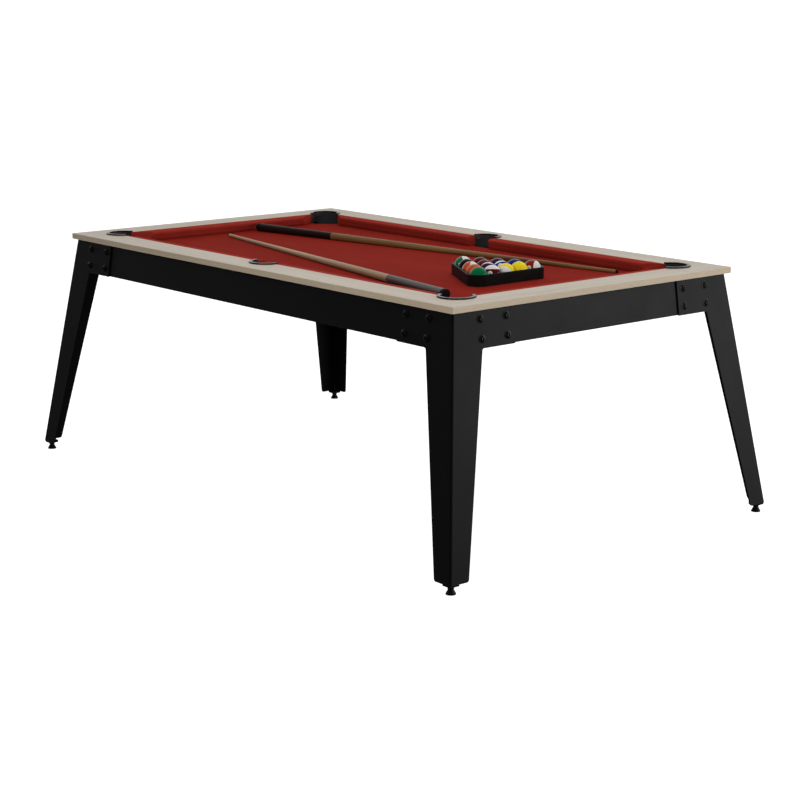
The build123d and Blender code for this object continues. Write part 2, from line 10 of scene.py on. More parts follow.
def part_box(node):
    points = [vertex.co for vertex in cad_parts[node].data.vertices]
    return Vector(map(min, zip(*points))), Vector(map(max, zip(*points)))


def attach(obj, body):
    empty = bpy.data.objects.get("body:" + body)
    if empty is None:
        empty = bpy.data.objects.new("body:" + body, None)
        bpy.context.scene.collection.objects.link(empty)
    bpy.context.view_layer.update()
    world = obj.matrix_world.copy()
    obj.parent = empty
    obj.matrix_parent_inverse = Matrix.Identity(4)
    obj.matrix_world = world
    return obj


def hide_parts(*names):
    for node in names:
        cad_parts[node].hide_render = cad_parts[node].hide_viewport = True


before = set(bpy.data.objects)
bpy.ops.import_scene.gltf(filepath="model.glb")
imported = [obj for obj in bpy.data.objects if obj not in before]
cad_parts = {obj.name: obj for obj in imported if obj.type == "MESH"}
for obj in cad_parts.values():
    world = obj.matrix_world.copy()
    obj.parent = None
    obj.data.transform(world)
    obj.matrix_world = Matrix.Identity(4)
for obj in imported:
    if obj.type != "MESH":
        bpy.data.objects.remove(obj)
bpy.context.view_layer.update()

scene = bpy.context.scene
MM = 0.001


# ------------------------------------------------------------------ places read from the frame
board_right_low, board_right_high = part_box("rail_board_right")
board_back_low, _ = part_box("rail_board_back")
cloth_low, cloth_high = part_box("bed_cloth")
corner_cup_low, corner_cup_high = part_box("pocket_cup_corner_back_right")
middle_cup_low, middle_cup_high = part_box("pocket_cup_middle_back")

BOARD_TOP = board_right_high.z
BED = cloth_high.z
BOARD_INNER_X = board_right_low.x
BOARD_INNER_Y = board_back_low.y
CUSHION_DEPTH = 37.5 * MM
NOSE_X = BOARD_INNER_X - CUSHION_DEPTH
NOSE_Y = BOARD_INNER_Y - CUSHION_DEPTH
CUP_WALL = 4 * MM
CORNER_X = (corner_cup_low.x + corner_cup_high.x) / 2
CORNER_Y = (corner_cup_low.y + corner_cup_high.y) / 2
CORNER_BORE = (corner_cup_high.x - corner_cup_low.x) / 2 - CUP_WALL
MIDDLE_Y = (middle_cup_low.y + middle_cup_high.y) / 2
MIDDLE_BORE = (middle_cup_high.x - middle_cup_low.x) / 2 - CUP_WALL
QUADRANTS = [(1, -1), (1, 1), (-1, 1), (-1, -1)]
END_OF_SIDE = {-1: "left", 1: "right"}
SIDE_NAME = {-1: "front", 1: "back"}


# ------------------------------------------------------------------ node graph helper
class Surface:
    """A material whose nodes are added and joined with short calls."""

    def __init__(self, name, **settings):
        self.material = bpy.data.materials.new(name)
        self.material.use_nodes = True
        self.nodes = self.material.node_tree.nodes
        self.links = self.material.node_tree.links
        self.shader = self.nodes["Principled BSDF"]
        for key, value in settings.items():
            self.shader.inputs[key.replace("_", " ")].default_value = value

    def node(self, kind, inputs=(), **settings):
        """Add a node; an input given as a socket is linked and one given as a value is set."""
        made = self.nodes.new(kind)
        for key, value in settings.items():
            setattr(made, key, value)
        for key, value in dict(inputs).items():
            self.put(value, made.inputs[key])
        return made

    def put(self, value, socket):
        """Link a socket to an input, or set the input's value."""
        if isinstance(value, bpy.types.NodeSocket):
            self.links.new(value, socket)
        else:
            socket.default_value = value

    def place(self, scale=(1, 1, 1), turn=(0, 0, 0)):
        """The object's own coordinates in metres, scaled."""
        coordinates = self.node("ShaderNodeTexCoord").outputs["Object"]
        mapping = self.node("ShaderNodeMapping", {"Vector": coordinates, "Scale": scale, "Rotation": turn})
        return mapping.outputs["Vector"]

    def noise(self, vector, scale, detail=3.0, roughness=0.5, distortion=0.0):
        inputs = {"Vector": vector, "Scale": scale, "Detail": detail, "Roughness": roughness}
        inputs["Distortion"] = distortion
        return self.node("ShaderNodeTexNoise", inputs).outputs["Fac"]

    def ramp(self, factor, *stops, interpolation="LINEAR"):
        """A colour ramp: stops are (position, colour) pairs, and a colour may be one grey number."""
        made = self.node("ShaderNodeValToRGB", {"Fac": factor})
        made.color_ramp.interpolation = interpolation
        elements = made.color_ramp.elements
        while len(elements) < len(stops):
            elements.new(0.5)
        for element, (position, colour) in zip(elements, stops):
            element.position = position
            element.color = (colour, colour, colour, 1) if isinstance(colour, (int, float)) else (*colour, 1)
        return made.outputs["Color"]

    def mix(self, factor, first, second, blend="MIX"):
        made = self.node("ShaderNodeMix", data_type="RGBA", blend_type=blend)
        self.put(factor, made.inputs["Factor"])
        self.put(first if isinstance(first, bpy.types.NodeSocket) else (*first, 1), made.inputs[6])
        self.put(second if isinstance(second, bpy.types.NodeSocket) else (*second, 1), made.inputs[7])
        return made.outputs[2]

    def math(self, operation, first, second=0.0):
        made = self.node("ShaderNodeMath", operation=operation)
        self.put(first, made.inputs[0])
        self.put(second, made.inputs[1])
        return made.outputs[0]

    def span(self, value, low, high):
        """A 0 to 1 value as a value from low to high."""
        inputs = {"Value": value, "To Min": low, "To Max": high}
        return self.node("ShaderNodeMapRange", inputs).outputs["Result"]

    def bump(self, height, distance, strength):
        made = self.node("ShaderNodeBump", {"Height": height, "Distance": distance, "Strength": strength})
        return made.outputs["Normal"]

    def finish(self, **linked):
        for key, value in linked.items():
            self.put(value, self.shader.inputs[key.replace("_", " ")])
        return self.material


def grain_scale(along, across, axis):
    """Stretch a texture along one axis, as wood grain runs."""
    return tuple(along if index == axis else across for index in range(3))


# ------------------------------------------------------------------ materials
def wood(name, axis, light, middle, dark, pore_depth=0.5, roughness=0.55, coat=0.0, specular=0.3, edge=None):
    """Sawn and lacquered wood with its grain along one axis; upright faces take a tint of their own, painted
    light that stands in for how the light falls on them.
    """
    made = Surface(name, Coat_Weight=coat, Coat_Roughness=0.25)
    made.shader.inputs["Specular IOR Level"].default_value = specular
    broad = made.noise(made.place(grain_scale(1.1, 14.0, axis)), 1.6, 4.0, 0.55, 0.6)
    streak = made.noise(made.place(grain_scale(2.0, 95.0, axis)), 1.5, 5.0, 0.6, 0.15)
    pores = made.noise(made.place(grain_scale(28.0, 900.0, axis)), 1.0, 2.0, 0.5)
    tone = made.ramp(broad, (0.28, dark), (0.5, middle), (0.74, light))
    fine = made.ramp(streak, (0.3, 0.80), (0.52, 1.0), (0.75, 1.07))
    colour = made.mix(0.85, tone, fine, "MULTIPLY")
    pore_mask = made.ramp(pores, (0.26, 1.0), (0.40, 0.0))
    pore_colour = tuple(0.55 * c for c in dark)
    colour = made.mix(made.math("MULTIPLY", pore_mask, pore_depth), colour, pore_colour)
    # Painted light: upright faces get their own tint (lighter and warmer for the oak) than the top of the
    # same board
    if edge:
        normal = made.node("ShaderNodeTexCoord").outputs["Normal"]
        upward = made.node("ShaderNodeSeparateXYZ", {"Vector": normal}).outputs["Z"]
        upright = made.math("LESS_THAN", made.math("ABSOLUTE", upward), 0.5)
        painted_light_grain = made.noise(made.place(grain_scale(60.0, 420.0, axis)), 1.0, 4.0, 0.65)
        painted_light_low, painted_light_high = (tuple(share * c for c in edge) for share in (0.72, 1.3))
        painted_light_tone = made.mix(made.span(painted_light_grain, 0.0, 1.0), painted_light_low, painted_light_high)
        colour = made.mix(upright, colour, made.mix(0.35, painted_light_tone, colour))
    relief = made.math("SUBTRACT", made.math("MULTIPLY", streak, 0.5), made.math("MULTIPLY", pore_mask, 0.6))
    return made.finish(
        Base_Color=colour,
        Roughness=made.span(streak, roughness - 0.08, roughness + 0.1),
        Normal=made.bump(relief, 0.00025, 0.6),
    )


def billiard_cloth(name, colour, shade):
    """Short-napped worsted cloth: a fine twill with a soft nap over it."""
    made = Surface(name, Sheen_Weight=0.02, Sheen_Roughness=0.4, Sheen_Tint=(0.9, 0.2, 0.15, 1))
    made.shader.inputs["Specular IOR Level"].default_value = 0.03
    twill = made.node(
        "ShaderNodeTexWave",
        {"Vector": made.place(turn=(0, 0, radians(38))), "Scale": 260.0, "Distortion": 1.2, "Detail": 2.0},
    ).outputs["Fac"]
    nap = made.noise(made.place(), 1400.0, 3.0, 0.7)
    brushed = made.noise(made.place((2.0, 7.0, 7.0)), 2.0, 4.0, 0.6)
    tone = made.ramp(brushed, (0.3, shade), (0.7, colour))
    speckle = made.ramp(nap, (0.3, 0.72), (0.6, 1.08))
    tint = made.mix(0.8, tone, speckle, "MULTIPLY")
    relief = made.math("ADD", made.math("MULTIPLY", twill, 0.5), nap)
    return made.finish(
        Base_Color=tint, Roughness=made.span(nap, 0.85, 1.0), Normal=made.bump(relief, 0.0003, 0.5)
    )


def powder_coat(name, colour, worn, roughness=0.5, specular=0.25):
    """Powder-coated steel: a fine orange-peel skin with slight change in gloss."""
    made = Surface(name)
    made.shader.inputs["Specular IOR Level"].default_value = specular
    peel = made.noise(made.place(), 900.0, 2.0, 0.5)
    cloud = made.noise(made.place(), 6.0, 4.0, 0.6)
    tone = made.ramp(cloud, (0.3, colour), (0.75, worn))
    return made.finish(
        Base_Color=tone,
        Roughness=made.span(cloud, roughness - 0.06, roughness + 0.08),
        Normal=made.bump(peel, 0.0002, 0.35),
    )


def moulded_plastic(name, colour, roughness=0.3, specular=0.5, grain=0.15, coat=0.0):
    """Moulded plastic or rubber with a faint mould texture and fine scuffs."""
    made = Surface(name, Coat_Weight=coat, Coat_Roughness=0.06)
    made.shader.inputs["Specular IOR Level"].default_value = specular
    texture = made.noise(made.place(), 2200.0, 2.0, 0.6)
    scuff = made.noise(made.place((1.0, 1.0, 3.0)), 60.0, 6.0, 0.7, 0.8)
    tone = made.ramp(scuff, (0.35, colour), (0.8, tuple(1.6 * c + 0.004 for c in colour)))
    return made.finish(
        Base_Color=tone,
        Roughness=made.span(scuff, roughness - 0.05, roughness + 0.12),
        Normal=made.bump(texture, 0.0001, grain),
    )


def turned_metal(name, colour, roughness=0.35):
    """Plated or blackened metal with turning marks round its axis."""
    made = Surface(name, Metallic=1.0)
    marks = made.noise(made.place((40.0, 40.0, 900.0)), 2.0, 3.0, 0.6)
    stain = made.noise(made.place(), 90.0, 4.0, 0.6)
    tone = made.mix(made.span(stain, 0.0, 0.6), colour, tuple(0.6 * c for c in colour))
    return made.finish(
        Base_Color=tone,
        Roughness=made.span(marks, roughness - 0.08, roughness + 0.15),
        Normal=made.bump(marks, 0.00005, 0.3),
    )


def slate_stone(name):
    """Honed slate with faint bedding clouds."""
    made = Surface(name)
    clouds = made.noise(made.place((3.0, 5.0, 12.0)), 2.0, 6.0, 0.65, 0.5)
    grit = made.noise(made.place(), 500.0, 3.0, 0.6)
    tone = made.ramp(clouds, (0.3, (0.035, 0.04, 0.045)), (0.7, (0.085, 0.09, 0.095)))
    return made.finish(
        Base_Color=tone, Roughness=made.span(grit, 0.6, 0.8), Normal=made.bump(grit, 0.0002, 0.5)
    )


def cast_resin(name, colour):
    """Polished cast resin of a ball: very slight cloudiness and hairline scuffs."""
    made = Surface(name)
    made.shader.inputs["Specular IOR Level"].default_value = 0.12
    cloud = made.noise(made.place(), 70.0, 3.0, 0.5)
    scuff = made.noise(made.place((1.0, 4.0, 1.0)), 420.0, 2.0, 0.6)
    tone = made.ramp(cloud, (0.3, tuple(0.9 * c for c in colour)), (0.7, colour))
    return made.finish(
        Base_Color=tone, Roughness=made.span(scuff, 0.03, 0.08), Normal=made.bump(scuff, 0.000001, 0.05)
    )


ALONG_X, ALONG_Y = 0, 1
OAK = ((0.495, 0.435, 0.358), (0.455, 0.398, 0.325), (0.415, 0.358, 0.288))
# Painted light: the tint of the boards' upright faces, lighter and warmer than their top
OAK_UPRIGHT_PAINTED_LIGHT = (0.62, 0.49, 0.335)
oak_long = wood("oak_along_x", ALONG_X, *OAK, pore_depth=0.35, edge=OAK_UPRIGHT_PAINTED_LIGHT)
oak_end = wood("oak_along_y", ALONG_Y, *OAK, pore_depth=0.35, edge=OAK_UPRIGHT_PAINTED_LIGHT)
plywood = wood("strip_plywood", ALONG_X, (0.55, 0.42, 0.28), (0.48, 0.36, 0.23), (0.38, 0.27, 0.16))
felt = billiard_cloth("red_cloth", (0.225, 0.0135, 0.0075), (0.200, 0.011, 0.0065))
# Painted light: the cushions wear the same cloth as the bed; this lighter copy stands in for light on their
# shaded faces
cushion_felt_painted_light = billiard_cloth("cushion_cloth_painted_light", (0.29, 0.028, 0.019), (0.26, 0.024, 0.016))
black_steel = powder_coat("black_powder_coat", (0.0026, 0.0026, 0.0026), (0.0032, 0.0032, 0.0032), 0.5, 0.095)
beam_steel = powder_coat("beam_powder_coat", (0.005, 0.005, 0.0055), (0.007, 0.007, 0.007), 0.5, 0.08)
bolt_black = powder_coat("bolt_black", (0.0022, 0.0022, 0.0022), (0.003, 0.003, 0.003), 0.27, 0.2)
pocket_black = moulded_plastic("pocket_black", (0.019, 0.019, 0.020), 0.45, 0.3)
rim_black = moulded_plastic("rim_black", (0.004, 0.004, 0.004), 0.22, 0.2, 0.05)
rack_black = moulded_plastic("rack_black", (0.004, 0.004, 0.004), 0.4, 0.02, 0.1, 0.07)
rubber_black = moulded_plastic("bumper_rubber", (0.002, 0.002, 0.002), 0.6, 0.1, 0.3)
pad_black = powder_coat("foot_black", (0.003, 0.003, 0.003), (0.005, 0.005, 0.005), 0.4, 0.1)
zinc = turned_metal("zinc_plate", (0.55, 0.55, 0.56), 0.4)
brass = turned_metal("brass_screw", (0.62, 0.42, 0.17), 0.3)
dark_thread = turned_metal("blackened_thread", (0.05, 0.05, 0.05), 0.4)
stone = slate_stone("honed_slate")


def dress(material, *names):
    """Give CAD nodes their material."""
    for name in names:
        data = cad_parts[name].data
        data.materials.clear()
        data.materials.append(material)


dress(oak_long, "rail_board_front", "rail_board_back")
dress(oak_end, "rail_board_left", "rail_board_right")
dress(plywood, "rail_base_strips")
dress(stone, "slate_bed")
dress(black_steel, *[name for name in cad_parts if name.startswith(("apron_", "leg_"))])
dress(beam_steel, "cross_beams")
dress(bolt_black, "frame_bolts")
dress(zinc, "frame_nuts", "rail_screws")
dress(brass, "pocket_screws")
dress(rim_black, "pocket_rims")
dress(pocket_black, *[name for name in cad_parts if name.startswith("pocket_cup_")])
dress(rack_black, "ball_rack")
dress(pad_black, "foot_lock_nuts", *[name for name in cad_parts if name.startswith("foot_pad_")])
dress(dark_thread, *[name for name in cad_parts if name.startswith("foot_stud_")])
dress(rubber_black, "cue_a_bumper", "cue_b_bumper")


# ------------------------------------------------------------------ mesh helpers
def piece(name, build, material, body, smooth=True):
    """An object from a bmesh builder, riding on a body."""
    mesh = bpy.data.meshes.new(name)
    work = bmesh.new()
    build(work)
    bmesh.ops.recalc_face_normals(work, faces=work.faces)
    work.to_mesh(mesh)
    work.free()
    mesh.polygons.foreach_set("use_smooth", [smooth] * len(mesh.polygons))
    made = bpy.data.objects.new(name, mesh)
    scene.collection.objects.link(made)
    for one in material if isinstance(material, (list, tuple)) else [material]:
        mesh.materials.append(one)
    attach(made, body)
    return made


def bevel(made, width, segments=3, angle=40):
    """Round the sharp edges of a piece."""
    modifier = made.modifiers.new("round_edges", "BEVEL")
    modifier.width = width
    modifier.segments = segments
    modifier.limit_method = "ANGLE"
    modifier.angle_limit = radians(angle)
    modifier.harden_normals = True
    return made


# ------------------------------------------------------------------ bed cloth
WALL_CLEARANCE = 0.5 * MM  # the cloth stops this far from a cup's wall
CORNER_DROP = 35 * MM  # from a pocket's axis to the edge of the bed that faces it
MIDDLE_DROP = 21 * MM
CORNER_RIM_ARC = 230.0
MIDDLE_RIM_ARC = 180.0
ARC_STEP = 4.0
HOLE_SHARPNESS = 14  # how tightly the drop edge turns into the round part of the hole
# Each ring of the rolled lip: how far inside the hole it is, and how far down
LIP = [(0.5 * MM, 0.1 * MM), (1.2 * MM, 0.6 * MM), (1.6 * MM, 1.5 * MM), (1.8 * MM, 14 * MM)]


def hole_radius(angle, wall, drop):
    """Distance from a pocket's axis to the cloth's edge, at an angle from the way to the field."""
    facing = max(0.0, cos(radians(angle)))
    return ((1 / wall) ** HOLE_SHARPNESS + (facing / drop) ** HOLE_SHARPNESS) ** (-1 / HOLE_SHARPNESS)


def notch(x, y, first, last, inward, drop, rim_arc):
    """Points of the cloth's edge round a pocket, each with its place in every ring of the lip."""
    points = []
    steps = int(abs(last - first) / ARC_STEP)
    for step in range(steps + 1):
        angle = first + (last - first) * step / steps
        off_axis = abs((angle - inward + 180) % 360 - 180)
        rings = []
        for inset, _ in [(0, 0)] + LIP:
            wall = CORNER_BORE + CUP_WALL + WALL_CLEARANCE - inset
            radius = hole_radius(off_axis, wall, drop - inset)
            rings.append(Vector((x + radius * cos(radians(angle)), y + radius * sin(radians(angle)))))
        open_to_field = off_axis < 180 - rim_arc / 2 - 1
        points.append((rings, open_to_field))
    return points


def cloth_quarter():
    """Edge of the cloth over one quarter of the bed, from the +X side round to the +Y side."""
    right, back = cloth_high.x, cloth_high.y
    round_corner = notch(CORNER_X, CORNER_Y, 0, -270, -135, CORNER_DROP, CORNER_RIM_ARC)
    start = degrees(asin((back - MIDDLE_Y) / (MIDDLE_BORE + CUP_WALL + WALL_CLEARANCE)))
    round_middle = notch(0, MIDDLE_Y, start, -90, -90, MIDDLE_DROP, MIDDLE_RIM_ARC)
    right_edge, back_edge = [Vector((right, CORNER_Y))], [Vector((CORNER_X, back))]
    return [(right_edge, False)] + round_corner + [(back_edge, False)] + round_middle


def build_cloth(work):
    quarter = cloth_quarter()
    outline = []
    for sx, sy in [(1, 1), (-1, 1), (-1, -1), (1, -1)]:
        part = [([Vector((sx * p.x, sy * p.y)) for p in rings], lip) for rings, lip in quarter]
        outline += part[::-1] if sx * sy < 0 else part
    clean = []
    for entry in outline:
        if not clean or (entry[0][0] - clean[-1][0][0]).length > 0.01 * MM:
            clean.append(entry)
    if (clean[0][0][0] - clean[-1][0][0]).length < 0.01 * MM:
        clean.pop()
    upper = [work.verts.new((*rings[0], BED)) for rings, _ in clean]
    work.faces.new(upper)
    for level, (_, drop) in enumerate(LIP, start=1):
        lower = [work.verts.new((*rings[level], BED - drop)) if lip else None for rings, lip in clean]
        for index in range(len(clean)):
            following = (index + 1) % len(clean)
            if lower[index] and lower[following]:
                work.faces.new([upper[index], upper[following], lower[following], lower[index]])
        upper = lower
    bmesh.ops.triangulate(work, faces=[face for face in work.faces if len(face.verts) > 4])


cloth = piece("bed_cloth_sheet", build_cloth, felt, "table")
cloth.data.polygons.foreach_set("use_smooth", [False] * len(cloth.data.polygons))
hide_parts("bed_cloth")


# ------------------------------------------------------------------ cushions
NOSE_HEIGHT = 11 * MM
UNDERCUT = 8 * MM
NOSE_ROUND = 3.0 * MM
NOSE_DROP = 3.0 * MM  # the top of the cloth falls this far to the nose
SEAM_DEPTH = 3.0 * MM  # where the cloth is pulled in under the nose
SEAM_HEIGHT = BED + 14 * MM
BACK_GROOVE = 1.2 * MM  # the cloth dips where it is tucked against the rail board
MOUTH_NOSE = 100 * MM
MOUTH_THROAT = 32 * MM
MIDDLE_MOUTH_NOSE = 53 * MM
MIDDLE_MOUTH_THROAT = 47 * MM
END_GAP = 1.0 * MM


def cushion_section():
    """Points round a cushion's section, as (distance back from the nose, height)."""
    top = BOARD_TOP
    nose_top, nose_foot = top - NOSE_DROP, top - NOSE_HEIGHT
    points = [(CUSHION_DEPTH - 0.1 * MM, top - BACK_GROOVE), (CUSHION_DEPTH - 0.8 * MM, top - 0.3 * MM)]
    points += [(CUSHION_DEPTH - 2.5 * MM, top), (26 * MM, top)]
    points += [(17 * MM, top - 0.3 * MM), (9 * MM, top - 1.4 * MM)]
    for step in range(5):
        angle = radians(90 * step / 4)
        points.append((NOSE_ROUND - NOSE_ROUND * sin(angle), nose_top - NOSE_ROUND + NOSE_ROUND * cos(angle)))
    points += [(0, nose_foot), (0.6 * MM, nose_foot - 1.6 * MM), (SEAM_DEPTH, SEAM_HEIGHT + 1.2 * MM)]
    points += [(SEAM_DEPTH + 1.1 * MM, SEAM_HEIGHT), (SEAM_DEPTH + 0.5 * MM, SEAM_HEIGHT - 1.2 * MM)]
    points += [(UNDERCUT - 0.3 * MM, BED + 0.9 * MM), (UNDERCUT + 0.8 * MM, BED + 0.15 * MM)]
    return points + [(CUSHION_DEPTH - 0.1 * MM, BED + 0.15 * MM)]


def end_place(depth, nose, throat, centre, bore, back_line, sign):
    """How far along the rail a cushion reaches at one depth, clear of the cup beside it."""
    along = nose + (throat - nose) * depth / CUSHION_DEPTH
    radius = bore + CUP_WALL + END_GAP
    offset = back_line - CUSHION_DEPTH + depth - centre[1]
    if abs(offset) < radius:
        limit = centre[0] - sign * sqrt(radius**2 - offset**2)
        along = min(along, limit) if sign > 0 else max(along, limit)
    return along


def cushion_builder(place, low_end, high_end):
    """A builder for one cushion: place(along, depth) gives x and y, and the ends are functions."""
    section = cushion_section()
    lengths = 48

    def build(work):
        rows = []
        for step in range(lengths + 1):
            share = step / lengths
            row = []
            for depth, height in section:
                low, high = low_end(depth), high_end(depth)
                x, y = place(low + (high - low) * share, depth)
                row.append(work.verts.new((x, y, height)))
            rows.append(row)
        for first, second in zip(rows, rows[1:]):
            for index in range(len(section)):
                following = (index + 1) % len(section)
                work.faces.new([first[index], first[following], second[following], second[index]])
        work.faces.new(rows[0])
        work.faces.new(rows[-1][::-1])

    return build


def long_end(depth):
    return end_place(
        depth, NOSE_X - MOUTH_NOSE, NOSE_X - MOUTH_THROAT, (CORNER_X, CORNER_Y), CORNER_BORE, BOARD_INNER_Y, 1
    )


def middle_end(depth):
    return end_place(
        depth, MIDDLE_MOUTH_NOSE, MIDDLE_MOUTH_THROAT, (0, MIDDLE_Y), MIDDLE_BORE, BOARD_INNER_Y, -1
    )


def short_end(depth):
    return end_place(
        depth, NOSE_Y - MOUTH_NOSE, NOSE_Y - MOUTH_THROAT, (CORNER_Y, CORNER_X), CORNER_BORE, BOARD_INNER_X, 1
    )


def add_cushion(name, place, low_end, high_end, node):
    """One padded cushion in the place of its CAD solid."""
    build = cushion_builder(place, low_end, high_end)
    bar = piece("cushion_" + name, build, cushion_felt_painted_light, "table")
    bevel(bar, 0.8 * MM)
    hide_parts(node)


for sx, sy in QUADRANTS:
    add_cushion(
        SIDE_NAME[sy] + "_" + END_OF_SIDE[sx],
        lambda along, depth: (sx * along, sy * (NOSE_Y + depth)),
        middle_end,
        long_end,
        "long_cushions",
    )

for sx in (-1, 1):
    add_cushion(
        END_OF_SIDE[sx] + "_end",
        lambda along, depth: (sx * (NOSE_X + depth), along),
        lambda depth: -short_end(depth),
        short_end,
        "end_cushions",
    )


# ------------------------------------------------------------------ balls
BALL_COLOURS = {
    1: (0.72, 0.55, 0.008),
    2: (0.003, 0.018, 0.13),
    # Painted shade: ball 3 is the red of ball 11's stripe, painted darker
    3: (0.085, 0.005, 0.004),
    4: (0.022, 0.003, 0.040),
    5: (0.42, 0.065, 0.012),
    6: (0.002, 0.115, 0.040),
    7: (0.065, 0.004, 0.005),
    8: (0.003, 0.003, 0.003),
    # Painted light: ball 11's stripe is ball 3's red, painted lighter
    11: (0.19, 0.010, 0.006),
}
STRIPE_OFFSET = 8
STRIPE_LATITUDE = 30  # degrees from a striped ball's equator to its white cap
DISC_ANGLE = 17.0  # degrees from the middle of a number's white disc to its edge
DISC_LIFT = 0.02 * MM  # the disc and its digits stand this far off the ball
DIGITS_LIFT = 0.05 * MM
WHITE = (0.62, 0.61, 0.59)
ball_white = cast_resin("ball_white", WHITE)
ball_ink = cast_resin("ball_ink", (0.006, 0.006, 0.006))
ball_resins = {n: cast_resin("ball_resin_%d" % n, c) for n, c in BALL_COLOURS.items()}

# Unit directions in the room, as seen by someone at the front right corner
TO_VIEWER = Vector((0.75, -0.62, 0.22)).normalized()
TO_RIGHT = Vector((0.64, 0.77, 0.0)).normalized()
UP = Vector((0, 0, 1))
HIDDEN = UP - 0.5 * TO_VIEWER  # a number turned up and away
# ball: (direction of the pole, direction of the number)
BALL_TURNS = {
    1: (TO_RIGHT, HIDDEN),
    2: (TO_RIGHT, HIDDEN),
    3: (TO_RIGHT, HIDDEN),
    4: (TO_RIGHT, HIDDEN),
    5: (TO_VIEWER, TO_RIGHT + 0.5 * UP + 0.15 * TO_VIEWER),
    6: (TO_RIGHT, HIDDEN),
    7: (TO_RIGHT, HIDDEN),
    8: (UP, TO_RIGHT + 0.6 * UP),
    9: (0.8 * TO_VIEWER - 0.35 * UP - 0.25 * TO_RIGHT, TO_RIGHT - 0.4 * UP),
    10: (0.8 * UP - 0.55 * TO_VIEWER - 0.25 * TO_RIGHT, 0.85 * TO_VIEWER + 0.5 * UP - 0.2 * TO_RIGHT),
    11: (0.89 * TO_RIGHT + 0.45 * TO_VIEWER, TO_VIEWER - 0.5 * TO_RIGHT),
    12: (0.6 * TO_VIEWER - 0.8 * UP, TO_RIGHT),
    13: (0.75 * TO_RIGHT + 0.4 * TO_VIEWER + 0.3 * UP, -UP),
    14: (0.7 * TO_RIGHT + 0.15 * TO_VIEWER + 0.5 * UP, 0.9 * TO_VIEWER + 0.1 * UP - 0.15 * TO_RIGHT),
    15: (UP - 0.2 * TO_VIEWER, TO_VIEWER - 0.3 * TO_RIGHT),
}


def digits_mesh(text, height):
    """Flat, finely cut mesh of a number, centred on the origin."""
    curve = bpy.data.curves.new("digits_%s" % text, "FONT")
    curve.body = text
    curve.align_x = "CENTER"
    curve.align_y = "CENTER"
    curve.size = height
    holder = bpy.data.objects.new("digits", curve)
    scene.collection.objects.link(holder)
    bpy.context.view_layer.update()
    flat = bpy.data.meshes.new_from_object(holder.evaluated_get(bpy.context.evaluated_depsgraph_get()))
    bpy.data.objects.remove(holder)
    work = bmesh.new()
    work.from_mesh(flat)
    bmesh.ops.triangulate(work, faces=work.faces)
    bmesh.ops.subdivide_edges(work, edges=work.edges, cuts=2, use_grid_fill=True)
    return work


def wrap_on_ball(vertex, radius):
    """Move a flat point (x, y) onto the ball around its +X axis."""
    across, up = vertex.co.x / radius, vertex.co.y / radius
    vertex.co = Vector((cos(across) * cos(up), sin(across) * cos(up), sin(up))) * radius


def build_ball(work, number, radius):
    """A ball with its stripe or plain shell, and its number on two sides."""
    bmesh.ops.create_uvsphere(work, u_segments=72, v_segments=36, radius=radius)
    striped = number > STRIPE_OFFSET
    for face in work.faces:
        latitude = degrees(asin(max(-1, min(1, face.calc_center_median().z / radius))))
        face.material_index = 1 if striped and abs(latitude) > STRIPE_LATITUDE else 0
    for side in (0, pi):
        disc = bmesh.new()
        bmesh.ops.create_circle(disc, cap_ends=True, segments=40, radius=radians(DISC_ANGLE) * radius)
        bmesh.ops.inset_region(disc, faces=disc.faces, thickness=radius * 0.12, use_even_offset=True)
        bmesh.ops.poke(disc, faces=[f for f in disc.faces if len(f.verts) > 4])
        bmesh.ops.subdivide_edges(disc, edges=disc.edges, cuts=2, use_grid_fill=True)
        digits = digits_mesh(str(number), radius * (0.42 if number < 10 else 0.36))
        for flat, index, lift in ((disc, 1, DISC_LIFT), (digits, 2, DIGITS_LIFT)):
            for vertex in flat.verts:
                wrap_on_ball(vertex, radius + lift)
            for face in flat.faces:
                face.material_index = index
            bmesh.ops.rotate(flat, verts=flat.verts, cent=(0, 0, 0), matrix=Matrix.Rotation(side, 3, "Z"))
            carrier = bpy.data.meshes.new("carrier")
            flat.to_mesh(carrier)
            flat.free()
            work.from_mesh(carrier)
            bpy.data.meshes.remove(carrier)


def turn_to(pole, face_direction):
    """Rotation that carries local Z to the pole and local X to the number's direction."""
    z = pole.normalized()
    x = (face_direction - z * face_direction.dot(z)).normalized()
    y = z.cross(x)
    return Matrix((x, y, z)).transposed().to_4x4()


def add_ball(number):
    """A finished ball in the place of its CAD solid."""
    name = "ball_%02d" % number
    low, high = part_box(name)
    mesh = bpy.data.meshes.new("resin_" + name)
    work = bmesh.new()
    build_ball(work, number, (high.z - low.z) / 2)
    work.to_mesh(mesh)
    work.free()
    mesh.polygons.foreach_set("use_smooth", [True] * len(mesh.polygons))
    resin = ball_resins[number if number in ball_resins else number - STRIPE_OFFSET]
    for material in (resin, ball_white, ball_ink):
        mesh.materials.append(material)
    ball = bpy.data.objects.new("resin_" + name, mesh)
    scene.collection.objects.link(ball)
    ball.matrix_world = Matrix.Translation((low + high) / 2) @ turn_to(*BALL_TURNS[number])
    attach(ball, name)
    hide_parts(name)


for number in BALL_TURNS:
    add_ball(number)


# ------------------------------------------------------------------ cues
CUE_TIP_RADIUS = 5.4 * MM
CUE_END_RADIUS = 14.75 * MM
CUE_BUMPER = 14 * MM
FERRULE = 14 * MM
TIP = 7 * MM
TIP_DOME = 2.5 * MM
DOME_HEIGHT = 2.4 * MM
COLLAR = 3 * MM
RIM_MARGIN = 0.2 * MM  # points this close to a cue's end are on its rim


